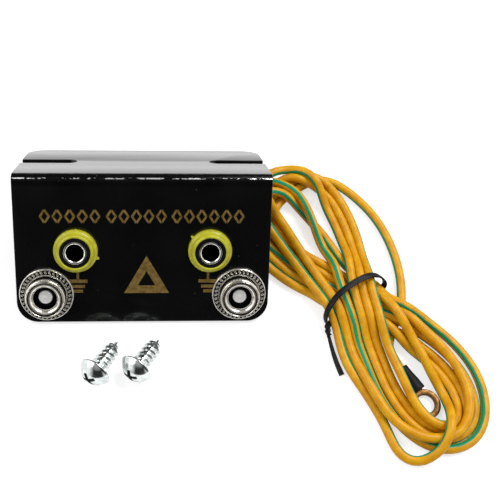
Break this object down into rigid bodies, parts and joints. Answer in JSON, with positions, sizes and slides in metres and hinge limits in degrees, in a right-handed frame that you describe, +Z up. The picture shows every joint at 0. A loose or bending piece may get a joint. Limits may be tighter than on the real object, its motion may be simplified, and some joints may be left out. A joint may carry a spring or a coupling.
{
  "type": "wrist-strap grounding bracket",
  "caption": "Bent steel bench bracket with banana jacks and snap studs for grounding wrist straps, its ground lead tied in a hank and its fixing screws beside it.",
  "frame": {"origin": "centre of the bottom of the bracket and the two loose screws, on the table they rest on", "axes": "+X to the right along the bracket's bend, +Y backward from the front face to the mounting flange, +Z up from the table"},
  "size_m": [0.1084, 0.0807, 0.0239],
  "materials": {
    "bracket_black": "gloss",
    "bush_yellow": "gloss",
    "insulator_black": "gloss",
    "bright_nickel": "polished",
    "zinc_steel": "bright",
    "plain_brass": "satin",
    "lead_insulation": "satin",
    "sleeve_black": "satin"
  },
  "bodies": {
    "bracket": {"bracket": "bracket_black", "jack_bush_left": "bush_yellow", "jack_bush_right": "bush_yellow", "jack_ring_left": "insulator_black", "jack_ring_right": "insulator_black", "jack_socket_left": "bright_nickel", "jack_socket_right": "bright_nickel", "jack_washer_left": "zinc_steel", "jack_washer_right": "zinc_steel", "jack_nut_left": "zinc_steel", "jack_nut_right": "zinc_steel", "terminal_nut_left": "zinc_steel", "terminal_nut_right": "zinc_steel", "link_strip": "plain_brass", "snap_base_left": "bright_nickel", "snap_base_right": "bright_nickel", "snap_stud_left": "bright_nickel", "snap_stud_right": "bright_nickel", "snap_rivet_left": "bright_nickel", "snap_rivet_right": "bright_nickel", "snap_backing_left": "bright_nickel", "snap_backing_right": "bright_nickel", "lead_lug": "bright_nickel", "ground_lead": "lead_insulation", "ground_lead_hank": "lead_insulation", "ground_lead_tail": "lead_insulation", "heat_shrink": "sleeve_black", "ring_terminal": "plain_brass", "twist_tie": "sleeve_black"},
    "screw_left": {"mounting_screw_left": "zinc_steel"},
    "screw_right": {"mounting_screw_right": "zinc_steel"}
  },
  "joints": [
    {"name": "screw_left_lift", "type": "slide", "parent": "bracket", "child": "screw_left", "axis": [0, 0, 1], "range_m": [0, 0.04]},
    {"name": "screw_right_lift", "type": "slide", "parent": "bracket", "child": "screw_right", "axis": [0, 0, 1], "range_m": [0, 0.04]}
  ]
}
